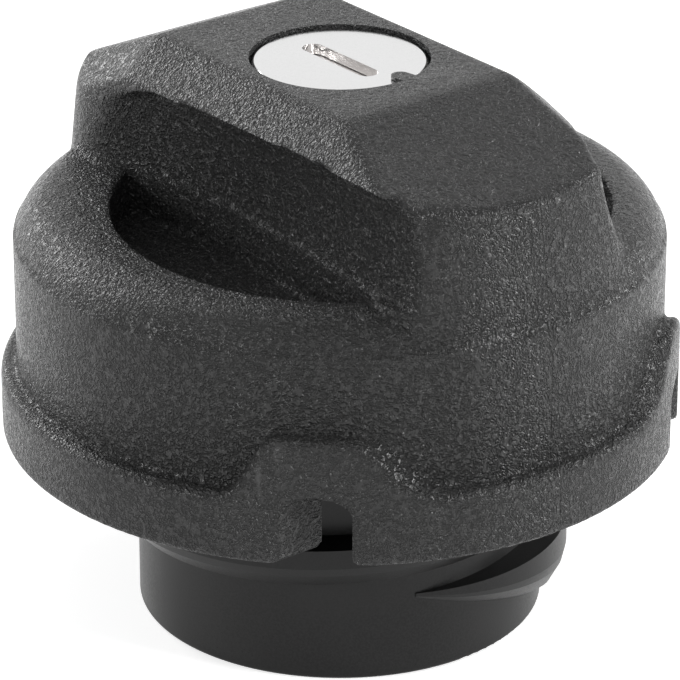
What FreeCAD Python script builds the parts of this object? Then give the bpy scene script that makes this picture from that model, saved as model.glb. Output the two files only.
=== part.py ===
import FreeCAD, Part
import os
from math import asin, cos, pi, radians, sin, sqrt

Vector = FreeCAD.Vector
up = Vector(0, 0, 1)

# Locking fuel filler cap. Z is up, the origin is the bottom centre of the neck,
# the handle runs along Y and its front end is at -Y. All sizes are in millimetres.

# Clearances
running_gap = 0.08        # radial gap of a turning fit
axial_gap = 0.15          # end gap between parts that turn on each other
slide_gap = 0.2           # gap round sliding parts
assembly_gap = 0.2        # gap round parts that are dropped in and fastened
thin_gap = 0.05           # gap round thin sliding plates
cut_over = 1.0            # how far a cutting shape reaches past the part
weld = 0.5                # how far a shape reaches into the one it is joined to

# Neck with thread
neck_radius = 24.3
neck_wall = 2.5
neck_edge_round = 0.5
thread_depth = 3.1
thread_pitch = 9.0
thread_turns = 1.25
thread_start_z = 10.6     # upper edge of the rib where it starts
thread_start_angle = -107.0
thread_start_width = 0.7
thread_lead_width = 11.9  # the lead-in is this wide where it is widest
thread_lead_turns = 0.18
thread_width = 6.8
thread_narrow_turns = 0.27
thread_rise_turns = 0.15
thread_fade_turns = 0.13
thread_least_rise = 0.05
thread_end_share = 0.2
thread_root_sink = 0.6    # how far the rib reaches into the neck's wall
thread_steps_per_turn = 36
thread_profile = [        # share of the depth, share of the width below the upper edge
    (1.0, 0.09), (1.0, 0.44), (0.87, 0.6), (0.42, 0.85),
]

# Seal and flange
seal_inset = 5.0          # seal face above the skirt's lower edge
seal_thickness = 3.0
seal_width = 4.3
seal_round = 0.6
shoulder_width = 3.6      # collar of the neck that the seal sits round
seal_shoulder = 2.3
flange_thickness = 3.5
flange_rim = 0.2          # how far the flange stands out past the seal
web_thickness = 2.0
web_hole_radius = 1.5
web_hole_circle = 13.0
web_hole_count = 6

# Hub that the cover turns on
hub_wall = 3.0
notch_count = 12
washer_thickness = 0.8
washer_width = 7.0
plate_thickness = 2.6
plate_floor = 1.4
plate_rim_width = 4.0
spoke_count = 12
spoke_first_angle = 15.0
spoke_width = 1.8
spoke_margin = 1.5        # solid ring of the plate outside the retaining ring
spoke_sink = 0.4
ring_thickness = 1.2
ring_width = 3.5
ring_gap = 4.0
ring_groove_depth = 1.0
ring_to_bolt = 0.9

# Cover body
cover_room = 3.3          # from the flange to the cover's inner wall
body_wall = 2.6
skirt_step = 1.9          # how far the skirt stands out past the body
skirt_bottom_z = 22.9
skirt_height = 8.1
roof_over_lock = 1.1      # body's top above the lock's flange
top_wall = 2.6
top_edge_round = 6.0
skirt_edge_round = 1.2
skirt_foot_round = 0.5

# Humps on the skirt, as seen along X: distances inwards from the skirt's front end
hump_rise = 7.4           # above the skirt
hump_foot_outer = 3.0
hump_top_outer = 8.9
hump_top_inner_left = 14.0
hump_top_inner_right = 10.2
hump_foot_inner = 19.8
hump_edge_round = 0.9
hump_root = 1.6           # how far a hump reaches into the body's wall
hump_sink = 0.5           # how far a hump reaches down into the skirt

# Slots in the skirt, cut along X
slot_inset = 7.9          # from the skirt's front end to the slot
slot_width = 5.5
slot_height = 8.45
slot_corner_round = 2.5
slot_mouth_round = 1.2

# Ribs and beads inside the cover
stop_rib_depth = 1.3
stop_rib_width = 2.0
stop_rib_count = 8
stop_rib_first_angle = 22.5
bead_depth = 0.7
bead_height = 1.0
bead_angle = 20.0
bead_count = 4

# Handle
handle_rise = 16.7        # above the body's top
handle_side_gap = 0.4     # from the lock's guide to the handle's inner wall
lip_reach = 4.0           # how far the lip stands out past the narrowest place of the grip
lip_to_plateau = 5.2
lip_to_bevel = 3.5
bevel_drop = 1.3
lip_drop = 4.4
grip_middle_rise = 5.9    # height of the narrowest place above the grip's foot
grip_sweep_radius = 330.0
crease_reach = 2.1
base_reach = 2.7
base_rise = 0.4
base_round = 0.6
front_plateau_end = 16.3
front_slope = 0.316
rear_plateau_end = 19.0
rear_slope = 0.45
end_lean = 0.155          # how much the end walls lean in for each mm of height
end_lean_start = 7.0      # below the body's top
crisp_corner_round = 3.0  # handle's corners at front left and rear right
soft_corner_round = 8.5   # handle's corners at front right and rear left
grip_front_end = 30.0
grip_rear_end = 23.0
handle_wall = 2.4
handle_end_wall = 5.4

# Finger pockets
pocket_to_handle = 0.5
pocket_radius = 27.7
pocket_depth = 5.4
pocket_floor_round = 3.0
pocket_rim_round = 0.5
pocket_wall = 2.2

# Lock
bore_radius = 10.55
boss_wall = 2.2
face_radius = 10.2
face_recess = 0.45
face_thickness = 1.25
face_bevel = 0.25
key_slot_length = 12.6
key_slot_width = 2.6
nub_width = 2.2
nub_reach = 2.5
nub_angle = 11.0
nub_gap = 0.1
nub_root = 0.6
plug_radius = 7.42
plug_head_radius = 10.2
plug_head_height = 6.3
barrel_wall = 2.85
keyway_half_length = 5.8
circlip_thickness = 0.8
circlip_radius = 8.8
circlip_opening = 3.0
circlip_groove_depth = 0.8
circlip_clearance = 0.5   # from the crank's disc to the circlip
circlip_room = 0.6        # round the circlip in the guide

# Shutter behind the key slot
shutter_thickness = 0.8
shutter_hinge_x = -2.9
shutter_pin_radius = 0.45
shutter_barrel_radius = 0.85
shutter_reach = 4.9
shutter_knuckle_length = 3.6
shutter_swing_room = 0.6
shutter_overlap = 0.25    # how far the flap covers past the key slot's end
shutter_side_gap = 0.2
shutter_knuckle_gap = 0.35
shutter_pin_bite = 1.2    # how far the pin reaches into the plug at each end
shutter_spring_wire = 0.25
shutter_spring_turns = 5
shutter_spring_spare = 0.4

# Wafers
wafer_count = 4
wafer_thickness = 1.0
wafer_half_width = 3.6
wafer_travel = 0.8
wafer_first_drop = 2.6    # first wafer below the plug's head
wafer_last_rise = 1.5     # last wafer above the housing's lower face
wafer_cut_depths = (0.0, 0.6, 0.3, 0.9)
wafer_bridge = 1.0
wafer_window_spare = 0.3
wafer_window_half_width = 1.5
wafer_lug_width = 1.0
wafer_lug_reach = 1.7
wafer_lug_y = 1.2
wafer_spring_radius = 0.62
wafer_spring_wire = 0.3
wafer_spring_length = 4.4
wafer_spring_turns = 4
wafer_spring_offset = 0.1

# Crank and bolt
crank_start_angle = 45.0
crank_flat_depth = 1.2
crank_radius = 3.4
crank_pin_radius = 1.1
crank_disc_radius = 6.8
crank_disc_thickness = 2.2
crank_screw_radius = 1.25
crank_screw_head_radius = 2.0
crank_screw_head_height = 1.2
crank_screw_depth = 7.0
yoke_gap = 0.15
bolt_thickness = 2.6
bolt_tip_width = 4.8
bolt_tip_round = 1.2
bolt_half_width = 6.2
bolt_back = 8.0
bolt_tip_gap = 0.3        # withdrawn bolt tip to the hub's bore
guide_floor = 1.4
guide_end_wall = 2.6      # of the guide, outside the bolt's channel
guide_roof = 0.8
guide_bore_gap = 0.4
guide_side_wall = 1.45    # of the guide's block, outside its screws
guide_end_rim = 1.55
guide_corner_round = 3.0
housing_flange_thickness = 3.0
housing_flange_rim = 3.7  # flange's end outside its screws
flange_corner_round = 4.0

# Screws
small_screw_radius = 1.25
small_screw_head_radius = 2.1
small_screw_head_height = 1.6
guide_screw_web = 2.29    # from the circlip's room to a screw
guide_screw_inset = 1.56  # from the guide's round foot to a screw's head
guide_screw_angle = 53.5
screw_end_gap = 0.5
housing_screw_radius = 1.5
housing_screw_head_radius = 2.7
housing_screw_head_height = 1.8
housing_screw_gap = 0.7   # from the guide's block to a screw's head
housing_screw_length = 9.0
screw_boss_radius = 3.3
screw_socket_radius = 0.8
screw_socket_depth = 0.9
pilot_spare = 1.0         # screw holes are this much deeper than their screws

# Valves in the neck
shoulder_depth = 1.2
carrier_thickness = 3.0
carrier_hole_radius = 8.0
seat_radius = 9.5
seat_width = 1.0
seat_height = 0.8
relief_seal_thickness = 1.6
relief_seal_radius = 11.5
relief_plate_radius = 12.0
relief_plate_thickness = 2.0
relief_boss_radius = 7.3
relief_travel = 1.5
relief_spring_radius = 7.6
relief_spring_wire = 1.1
relief_spring_turns = 5
relief_spring_spare = 2.5
collar_gap = 0.35         # round the relief spring's foot
collar_width = 1.5
collar_height = 1.0
post_radius = 1.3
post_gap = 0.6
post_count = 4
spring_boss_height = 2.5
spring_boss_wall = 1.3
vacuum_disc_radius = 6.6
vacuum_disc_thickness = 1.4
vacuum_travel = 1.0
stem_radius = 1.45
stem_hole_radius = 1.6
vacuum_spring_radius = 2.4
vacuum_spring_wire = 0.5
vacuum_spring_spare = 1.0
vacuum_spring_turns = 4
stem_end = 0.6            # of the stem above the spring's cap
spring_cap_radius = 3.4
spring_cap_thickness = 1.0
air_hole_radius = 1.2
air_hole_circle = 4.5
air_hole_count = 4
bottom_inset = 3.0
bottom_thickness = 2.0
collar_wall = 1.5
snap_depth = 0.4
snap_height = 0.8
vent_hole_radius = 2.0
vent_hole_circle = 13.5
vent_hole_count = 8
centre_vent_radius = 4.0

# Radii that follow from the sizes above
seal_inner_radius = neck_radius + shoulder_width
seal_outer_radius = seal_inner_radius + seal_width
flange_radius = seal_outer_radius + flange_rim
body_inner_radius = flange_radius + cover_room
body_radius = body_inner_radius + body_wall
skirt_radius = body_radius + skirt_step

# Heights that follow from the sizes above
seal_z = skirt_bottom_z + seal_inset
flange_z = seal_z + seal_thickness
flange_top_z = flange_z + flange_thickness
plate_z = flange_top_z + washer_thickness + axial_gap
plate_top_z = plate_z + plate_thickness
ring_z = plate_top_z + axial_gap
ring_top_z = ring_z + ring_thickness
bolt_z = ring_top_z + ring_to_bolt
bolt_top_z = bolt_z + bolt_thickness
hub_top_z = bolt_top_z + slide_gap
guide_z = bolt_z - slide_gap - guide_floor
channel_top_z = bolt_top_z + slide_gap
crank_room_z = channel_top_z + guide_roof
crank_z = crank_room_z + slide_gap
crank_top_z = crank_z + crank_disc_thickness
circlip_z = crank_top_z + circlip_clearance
circlip_top_z = circlip_z + circlip_thickness
housing_z = circlip_top_z + axial_gap
housing_flange_top_z = housing_z + housing_flange_thickness
shelf_z = skirt_bottom_z + skirt_height
body_top_z = housing_flange_top_z + roof_over_lock
handle_top_z = body_top_z + handle_rise
face_top_z = handle_top_z - face_recess
plug_top_z = face_top_z - face_thickness
plug_head_z = plug_top_z - plug_head_height
barrel_top_z = plug_head_z - axial_gap
pocket_floor_z = body_top_z - pocket_depth

# The lock's sizes that follow, from the circlip outwards
guide_screw_circle = circlip_radius + circlip_room + guide_screw_web + small_screw_radius
guide_screw_x = guide_screw_circle * cos(radians(guide_screw_angle))
guide_screw_y = guide_screw_circle * sin(radians(guide_screw_angle))
guide_foot_radius = guide_screw_circle + small_screw_head_radius + guide_screw_inset
guide_half_width = guide_screw_x + small_screw_radius + guide_side_wall
guide_half_length = guide_screw_y + small_screw_radius + guide_end_rim
housing_screw_y = guide_half_length + housing_screw_head_radius + housing_screw_gap
housing_flange_half_length = housing_screw_y + housing_flange_rim
hub_bore_radius = guide_foot_radius + guide_bore_gap
hub_radius = hub_bore_radius + hub_wall
barrel_radius = plug_radius + running_gap + barrel_wall
crank_pin_x = -crank_radius * sin(radians(crank_start_angle))
crank_pin_y = crank_radius * cos(radians(crank_start_angle))
bolt_travel = -2 * crank_pin_x
bolt_tip_x = hub_bore_radius - bolt_tip_gap
bolt_shoulder = guide_foot_radius - guide_end_wall - slide_gap - bolt_travel
wafer_pitch = (plug_head_z - wafer_first_drop - housing_z - wafer_last_rise) / (wafer_count - 1)

# The handle's widths that follow from the lock inside it
grip_half_width = guide_half_width + handle_side_gap + handle_wall
crease_half_width = grip_half_width + crease_reach
base_half_width = grip_half_width + base_reach
lip_half_width = grip_half_width + lip_reach
plateau_half_width = lip_half_width - lip_to_plateau
bevel_half_width = lip_half_width - lip_to_bevel
pocket_chord = base_half_width + pocket_to_handle

# The valves' sizes that follow, from the neck's web down
neck_bore_radius = neck_radius - neck_wall
relief_spring_room = relief_spring_turns * relief_spring_wire + relief_travel + relief_spring_spare
relief_plate_top_z = flange_z - relief_spring_room
relief_plate_z = relief_plate_top_z - relief_plate_thickness
relief_seal_z = relief_plate_z - relief_seal_thickness
shoulder_z = relief_seal_z - seat_height
vacuum_spring_length = vacuum_spring_turns * vacuum_spring_wire + vacuum_travel + vacuum_spring_spare


def cylinder(radius, z_low, z_high, x=0.0, y=0.0):
    return Part.makeCylinder(radius, z_high - z_low, Vector(x, y, z_low))


def ring(outer, inner, z_low, z_high):
    return cylinder(outer, z_low, z_high).cut(cylinder(inner, z_low - cut_over, z_high + cut_over))


def block(x_low, x_high, y_low, y_high, z_low, z_high):
    return Part.makeBox(x_high - x_low, y_high - y_low, z_high - z_low, Vector(x_low, y_low, z_low))


def centred_block(half_x, half_y, z_low, z_high):
    return block(-half_x, half_x, -half_y, half_y, z_low, z_high)


def turned(shape, angle):
    copy = shape.copy()
    copy.rotate(Vector(0, 0, 0), up, angle)
    return copy


def around(shape, count, first=0.0):
    return [turned(shape, first + 360.0 * i / count) for i in range(count)]


def polygon(points):
    return Part.makePolygon([Vector(*p) for p in points] + [Vector(*points[0])])


def prism_along_x(points, half_length):
    face = Part.Face(polygon([(-half_length, y, z) for y, z in points]))
    return face.extrude(Vector(2 * half_length, 0, 0))


def edges_where(shape, test):
    return [edge for edge in shape.Edges if test(edge)]


def upright_edges(shape):
    return edges_where(shape, lambda e: e.BoundBox.ZLength > cut_over)


def level_edges(shape, z):
    return edges_where(shape, lambda e: abs(e.BoundBox.ZMin - z) < 1e-4 and abs(e.BoundBox.ZMax - z) < 1e-4)


def coil(radius, wire, height, turns, origin, axis, sides=4):
    """Helical spring with flat-ground ends left off, as one swept solid."""
    pitch = (height - wire) / turns
    path = Part.makeHelix(pitch, pitch * turns, radius)
    corners = []
    for i in range(sides):
        angle = 2 * pi * (i + 0.5) / sides
        corners.append((radius + wire / 2 * cos(angle), 0, wire / 2 * sin(angle)))
    section = polygon(corners)
    sweep = Part.BRepOffsetAPI.MakePipeShell(Part.Wire(path.Edges))
    sweep.setFrenetMode(True)
    sweep.add(section)
    sweep.build()
    sweep.makeSolid()
    spring = sweep.shape()
    spring.translate(Vector(0, 0, wire / 2))
    spring.Placement = FreeCAD.Placement(origin, FreeCAD.Rotation(up, axis)).multiply(spring.Placement)
    return spring


def s_curve(start, end):
    """Smooth step in the YZ plane, level at both ends."""
    middle = (start[0] + end[0]) / 2
    curve = Part.BezierCurve()
    curve.setPoles([Vector(0, *start), Vector(0, middle, start[1]), Vector(0, middle, end[1]), Vector(0, *end)])
    return curve.toShape()


# Handle

def handle_section():
    top = handle_top_z
    foot = body_top_z - pocket_depth
    half = [
        (plateau_half_width, top),
        (bevel_half_width, top - bevel_drop),
        (lip_half_width, top - lip_drop),
        (lip_half_width, foot),
    ]
    return half + [(-x, z) for x, z in reversed(half)]


def roof_prism(drop, half_length):
    """Room under the roof line, lowered by drop, over the whole width."""
    reach = skirt_radius
    front = handle_top_z - drop - front_slope * (reach - front_plateau_end)
    rear = handle_top_z - drop - rear_slope * (reach - rear_plateau_end)
    points = [
        (-reach, skirt_bottom_z),
        (reach, skirt_bottom_z),
        (reach, rear),
        (rear_plateau_end, handle_top_z - drop),
        (-front_plateau_end, handle_top_z - drop),
        (-reach, front),
    ]
    return prism_along_x(points, half_length)


def handle_block():
    section = handle_section()

    def span(y, length, slope):
        face = Part.Face(polygon([(x, y, z) for x, z in section]))
        return face.extrude(Vector(0, length, -slope * abs(length)))

    middle = span(-front_plateau_end, front_plateau_end + rear_plateau_end, 0.0)
    front = span(-front_plateau_end, front_plateau_end - skirt_radius, front_slope)
    rear = span(rear_plateau_end, skirt_radius - rear_plateau_end, rear_slope)
    return middle.fuse([front, rear]).removeSplitter()


def handle_envelope():
    low = body_top_z - end_lean_start
    high = handle_top_z + cut_over
    cone = Part.makeCone(body_radius, body_radius - end_lean * (high - low), high - low, Vector(0, 0, low))
    envelope = cone.common(centred_block(lip_half_width, skirt_radius, low, high))

    def corners(sign):
        def wanted(edge):
            box = edge.BoundBox
            return box.ZLength > cut_over and sign * box.Center.x * box.Center.y > 0
        return edges_where(envelope, wanted)

    envelope = envelope.makeFillet(crisp_corner_round, corners(1))
    return envelope.makeFillet(soft_corner_round, corners(-1))


def grip_cutter(side):
    """Hollow of the grip under the lip, swept in a long arc along the handle."""
    centre_y = (grip_rear_end - grip_front_end) / 2
    axis_x = grip_half_width + grip_sweep_radius
    low = body_top_z + base_rise
    high = handle_top_z - lip_drop
    outer = axis_x - skirt_radius
    foot = axis_x - base_half_width + base_round
    crease = axis_x - crease_half_width
    arc = Part.Arc(
        Vector(foot, 0, low),
        Vector(grip_sweep_radius, 0, low + grip_middle_rise),
        Vector(crease, 0, high),
    ).toShape()
    rest = Part.makePolygon([
        Vector(crease, 0, high), Vector(outer, 0, high), Vector(outer, 0, low), Vector(foot, 0, low),
    ])
    face = Part.Face(Part.Wire([arc] + rest.Edges))
    sweep_angle = asin((grip_rear_end + grip_front_end) / 2 / grip_sweep_radius)
    face.rotate(Vector(0, 0, 0), up, -sweep_angle * 180 / pi)
    cutter = face.revolve(Vector(0, 0, 0), up, 2 * sweep_angle * 180 / pi)
    cutter.translate(Vector(-axis_x, centre_y, 0))
    cutter = cutter.common(roof_prism(lip_drop, skirt_radius))
    if side > 0:
        cutter = cutter.mirror(Vector(0, 0, 0), Vector(1, 0, 0))
    return cutter


def handle():
    body = handle_block().common(handle_envelope())
    body = body.cut([grip_cutter(-1), grip_cutter(1)])
    base = centred_block(base_half_width, skirt_radius, body_top_z - top_edge_round, body_top_z + base_rise)
    rim = edges_where(base, lambda e: e.BoundBox.YLength > skirt_radius and e.BoundBox.ZMin > body_top_z)
    base = base.makeFillet(base_round, rim).common(handle_envelope())
    return body.fuse(base)


# Cover

def body_outside():
    low, shelf, top = skirt_bottom_z, shelf_z, body_top_z
    round_f, round_s, round_t = skirt_foot_round, skirt_edge_round, top_edge_round
    edges = []

    def line(a, b):
        edges.append(Part.LineSegment(Vector(a[0], 0, a[1]), Vector(b[0], 0, b[1])).toShape())

    def quarter(centre, radius, start):
        angles = [start, start + pi / 4, start + pi / 2]
        points = [Vector(centre[0] + radius * cos(a), 0, centre[1] + radius * sin(a)) for a in angles]
        edges.append(Part.Arc(*points).toShape())

    line((0, low), (skirt_radius - round_f, low))
    quarter((skirt_radius - round_f, low + round_f), round_f, -pi / 2)
    line((skirt_radius, low + round_f), (skirt_radius, shelf - round_s))
    quarter((skirt_radius - round_s, shelf - round_s), round_s, 0)
    line((skirt_radius - round_s, shelf), (body_radius, shelf))
    line((body_radius, shelf), (body_radius, top - round_t))
    quarter((body_radius - round_t, top - round_t), round_t, 0)
    line((body_radius - round_t, top), (0, top))
    line((0, top), (0, low))
    return Part.Face(Part.Wire(edges)).revolve(Vector(0, 0, 0), up, 360)


def hump(top_inner, side):
    """One hump near the front end: an outline in the YZ plane, pushed out along X to one side."""
    low = shelf_z - skirt_edge_round - hump_sink
    high = shelf_z + hump_rise
    foot_out = hump_foot_outer - skirt_radius
    top_out = hump_top_outer - skirt_radius
    top_in = top_inner - skirt_radius
    foot_in = hump_foot_inner - skirt_radius
    edges = [
        Part.makeLine(Vector(0, foot_out, low), Vector(0, foot_out, shelf_z)),
        s_curve((foot_out, shelf_z), (top_out, high)),
        Part.makeLine(Vector(0, top_out, high), Vector(0, top_in, high)),
        s_curve((top_in, high), (foot_in, shelf_z)),
        Part.makeLine(Vector(0, foot_in, shelf_z), Vector(0, foot_in, low)),
        Part.makeLine(Vector(0, foot_in, low), Vector(0, foot_out, low)),
    ]
    face = Part.Face(Part.Wire(edges))
    through = face.extrude(Vector(side * skirt_radius, 0, 0))
    wall = ring(skirt_radius, body_radius - hump_root, low, high + cut_over)
    shape = through.common(wall)
    outer = edges_where(shape, lambda e: e.BoundBox.ZMin > shelf_z - 0.01 and on_outside(e))
    return shape.makeFillet(hump_edge_round, outer)


def on_outside(edge):
    point = edge.valueAt((edge.FirstParameter + edge.LastParameter) / 2)
    ends = [v.Point for v in edge.Vertexes]
    return all(abs(sqrt(p.x ** 2 + p.y ** 2) - skirt_radius) < 0.01 for p in [point] + ends)


def slot_cutter():
    """Both slots on the -Y side, open at the skirt's lower edge, with a flared mouth."""
    high = skirt_bottom_z + slot_height
    low = skirt_bottom_z - cut_over
    reach = skirt_radius + cut_over
    outer = slot_inset - skirt_radius
    inner = outer + slot_width
    slot = block(-reach, reach, outer, inner, low, high)
    slot = slot.makeFillet(slot_corner_round, edges_where(
        slot, lambda e: e.BoundBox.XLength > skirt_radius and e.BoundBox.ZMin > high - 0.01))
    mouth_z = skirt_bottom_z + slot_mouth_round
    flare = block(-reach, reach, outer - slot_mouth_round, inner + slot_mouth_round, low, mouth_z)
    for y in (outer - slot_mouth_round, inner + slot_mouth_round):
        bar = Part.makeCylinder(slot_mouth_round, 2 * reach + 2 * cut_over, Vector(-reach - cut_over, y, mouth_z),
                                Vector(1, 0, 0))
        flare = flare.cut(bar)
    return slot.fuse(flare)


def pocket_shape(grow, low, high):
    """D-shaped block beside the handle, on the -X side."""
    disc = cylinder(pocket_radius + grow, low, high)
    return disc.common(block(-skirt_radius, -pocket_chord + grow, -skirt_radius, skirt_radius, low, high))


def pocket_cutter():
    """Rounded scoop of a finger pocket, with its rim broken by a small bevel."""
    scoop = pocket_shape(0.0, pocket_floor_z, body_top_z + cut_over)
    scoop = scoop.makeFillet(pocket_floor_round, level_edges(scoop, pocket_floor_z))
    inner = cylinder(pocket_radius, body_top_z - pocket_rim_round, body_top_z)
    cone = Part.makeCone(pocket_radius, pocket_radius + pocket_rim_round, pocket_rim_round,
                         Vector(0, 0, body_top_z - pocket_rim_round))
    rim = cone.cut(inner).common(block(-skirt_radius, -pocket_chord, -skirt_radius, skirt_radius, 0, body_top_z))
    return scoop.fuse(rim)


def cover_cavity():
    """Hollow under the cap's flat top and inside the handle, leaving the walls of the pockets and the lock."""
    ceiling = body_top_z - top_wall
    wide = cylinder(body_inner_radius, skirt_bottom_z - cut_over, ceiling)
    wide = wide.makeFillet(top_edge_round - (body_radius - body_inner_radius), level_edges(wide, ceiling))
    walls = pocket_shape(pocket_wall, pocket_floor_z - pocket_wall, body_top_z)
    wide = wide.cut([walls, turned(walls, 180)])
    half_width = grip_half_width - handle_wall
    end_radius = body_radius - end_lean * handle_rise - handle_end_wall
    inside = roof_prism(top_wall, half_width).common(cylinder(end_radius, body_top_z - top_edge_round, handle_top_z))
    boss = cylinder(bore_radius + boss_wall, housing_flange_top_z, handle_top_z)
    inside = inside.cut(boss)
    for y in (-housing_screw_y, housing_screw_y):
        inside = inside.cut(cylinder(screw_boss_radius, housing_flange_top_z, handle_top_z, 0, y))
    return wide.fuse(inside)


def stop_ribs():
    """Short ribs on the cover's inner wall that the base plate bears on."""
    rib = block(body_inner_radius - stop_rib_depth, body_inner_radius + weld, -stop_rib_width / 2, stop_rib_width / 2,
                plate_top_z, body_top_z - top_edge_round)
    return around(rib, stop_rib_count, stop_rib_first_angle)


def snap_beads():
    """Short beads that hold the base plate from below."""
    low = plate_z - thin_gap
    profile = polygon([
        (body_inner_radius + weld, 0, low),
        (body_inner_radius - bead_depth, 0, low),
        (body_inner_radius, 0, low - bead_height),
        (body_inner_radius + weld, 0, low - bead_height),
    ])
    bead = Part.Face(profile).revolve(Vector(0, 0, 0), up, bead_angle)
    return around(bead, bead_count, -bead_angle / 2)


def index_nub():
    """Small tongue of the plateau that reaches over the rim of the lock's face."""
    inner = bore_radius - nub_reach
    low = face_top_z + nub_gap
    nub = block(inner + nub_width / 2, bore_radius + nub_root, -nub_width / 2, nub_width / 2, low, handle_top_z)
    nub = nub.fuse(cylinder(nub_width / 2, low, handle_top_z, inner + nub_width / 2, 0))
    return turned(nub, nub_angle - 90)


def outer_cover():
    shape = body_outside().fuse([hump(hump_top_inner_left, -1), hump(hump_top_inner_right, 1), handle()])
    pocket = pocket_cutter()
    bore = cylinder(bore_radius, housing_flange_top_z - cut_over, handle_top_z + cut_over)
    screws = []
    for y in (-housing_screw_y, housing_screw_y):
        depth = housing_z + housing_screw_length + pilot_spare
        screws.append(cylinder(housing_screw_radius, housing_flange_top_z - cut_over, depth, 0, y))
    shape = shape.cut([pocket, turned(pocket, 180), cover_cavity(), bore] + screws)
    shape = shape.fuse(stop_ribs() + snap_beads() + [index_nub()])
    return shape.cut(slot_cutter()).removeSplitter()


def base_plate():
    """Ring that snaps into the cover, hollowed from above between spokes."""
    plate = ring(body_inner_radius - assembly_gap, hub_radius + running_gap, plate_z, plate_top_z)
    inner = hub_radius + ring_width + spoke_margin
    outer = body_inner_radius - plate_rim_width
    plate = plate.cut(ring(outer, inner, plate_z + plate_floor, plate_top_z + cut_over))
    spoke = block(inner - spoke_sink, outer + spoke_sink, -spoke_width / 2, spoke_width / 2,
                  plate_z + plate_floor - spoke_sink, plate_top_z)
    return plate.fuse(around(spoke, spoke_count, spoke_first_angle)).removeSplitter()


# Lock

def screw_with_socket(radius, head_radius, head_height, length, x, y, z):
    """Screw driven upwards: its head's lower face at z, with a hexagon socket."""
    head = cylinder(head_radius, z, z + head_height, x, y)
    shank = cylinder(radius, z + head_height, z + head_height + length, x, y)
    points = [(x + screw_socket_radius * cos(pi * i / 3), y + screw_socket_radius * sin(pi * i / 3), z)
              for i in range(6)]
    socket = Part.Face(polygon(points)).extrude(Vector(0, 0, screw_socket_depth))
    return head.fuse(shank).cut(socket).removeSplitter()


def lock_housing():
    flange = centred_block(guide_half_width, housing_flange_half_length, housing_z, housing_flange_top_z)
    flange = flange.makeFillet(flange_corner_round, upright_edges(flange))
    shape = flange.fuse(cylinder(barrel_radius, housing_z, barrel_top_z))
    low = housing_z - cut_over
    high = housing_flange_top_z + cut_over
    shape = shape.cut(cylinder(plug_radius + running_gap, low, barrel_top_z + cut_over))
    groove_half = wafer_half_width + slide_gap
    groove_reach = plug_radius + wafer_travel + slide_gap
    groove_top = plug_head_z - wafer_first_drop + wafer_thickness
    shape = shape.cut([
        block(-groove_half, groove_half, -groove_reach, groove_reach, low, groove_top),
        block(-groove_reach, groove_reach, -groove_half, groove_half, low, groove_top),
    ])
    for y in (-housing_screw_y, housing_screw_y):
        shape = shape.cut(cylinder(housing_screw_radius, low, high, 0, y))
    for x in (-guide_screw_x, guide_screw_x):
        for y in (-guide_screw_y, guide_screw_y):
            shape = shape.cut(cylinder(small_screw_radius, low, high, x, y))
    return shape.removeSplitter()


def housing_screws():
    screws = []
    for y in (-housing_screw_y, housing_screw_y):
        screws.append(screw_with_socket(housing_screw_radius, housing_screw_head_radius, housing_screw_head_height,
                                        housing_screw_length, 0, y, housing_z - housing_screw_head_height))
    return Part.makeCompound(screws)


def wafer_height(index):
    return plug_head_z - wafer_first_drop - wafer_pitch * index


def wafer_side(index):
    return 1 if index % 2 == 0 else -1


def lock_plug():
    shape = cylinder(plug_radius, crank_top_z, plug_head_z).fuse(cylinder(plug_head_radius, plug_head_z, plug_top_z))
    half_slot = key_slot_width / 2
    keyway = centred_block(half_slot, keyway_half_length, housing_z, plug_top_z + cut_over)
    flap_half = shutter_half_length() + shutter_side_gap
    room = block(shutter_hinge_x - shutter_barrel_radius - slide_gap, shutter_hinge_x + shutter_reach + slide_gap,
                 -flap_half, flap_half, plug_head_z + shutter_swing_room / 2, plug_top_z + cut_over)
    pin = shutter_pin()
    groove = ring(plug_radius + cut_over, plug_radius - circlip_groove_depth,
                  circlip_z - thin_gap, circlip_top_z + thin_gap)
    screw = cylinder(crank_screw_radius, crank_top_z - cut_over,
                     crank_z + crank_screw_head_height + crank_screw_depth)
    shape = shape.cut([keyway, room, pin, groove, screw])
    cuts = []
    for i in range(wafer_count):
        z = wafer_height(i)
        half = wafer_thickness / 2 + thin_gap
        reach = wafer_half_width + thin_gap
        slot = block(-reach, reach, -plug_radius - cut_over, plug_radius + cut_over, z - half, z + half)
        lug = block(wafer_half_width - cut_over, wafer_half_width + wafer_lug_reach + thin_gap,
                    wafer_lug_y - wafer_travel, wafer_lug_y + wafer_lug_width + wafer_travel + slide_gap,
                    z - half, z + half)
        bore_half = wafer_spring_radius + wafer_spring_wire / 2 + thin_gap
        bore = Part.makeCylinder(bore_half, wafer_spring_length + 2 * thin_gap,
                                 Vector(spring_x(), wafer_lug_y - wafer_spring_length - thin_gap, z), Vector(0, 1, 0))
        cut = slot.fuse([lug, bore])
        cuts.append(turned(cut, 0 if wafer_side(i) > 0 else 180))
    return shape.cut(cuts).removeSplitter()


def spring_x():
    return wafer_half_width + wafer_lug_reach / 2 + wafer_spring_offset


def shutter_axis_z():
    return plug_top_z - shutter_barrel_radius - thin_gap * 2


def shutter_half_length():
    return key_slot_length / 2 + shutter_overlap


def lock_face():
    disc = cylinder(face_radius, plug_top_z, face_top_z)
    disc = disc.makeChamfer(face_bevel, edges_where(disc, lambda e: e.BoundBox.ZMin > face_top_z - 0.01))
    half = key_slot_width / 2
    straight = key_slot_length / 2 - half
    low = plug_top_z - cut_over
    high = face_top_z + cut_over
    slot = centred_block(half, straight, low, high)
    ends = [cylinder(half, low, high, 0, y) for y in (-straight, straight)]
    return disc.cut(slot.fuse(ends))


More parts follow.
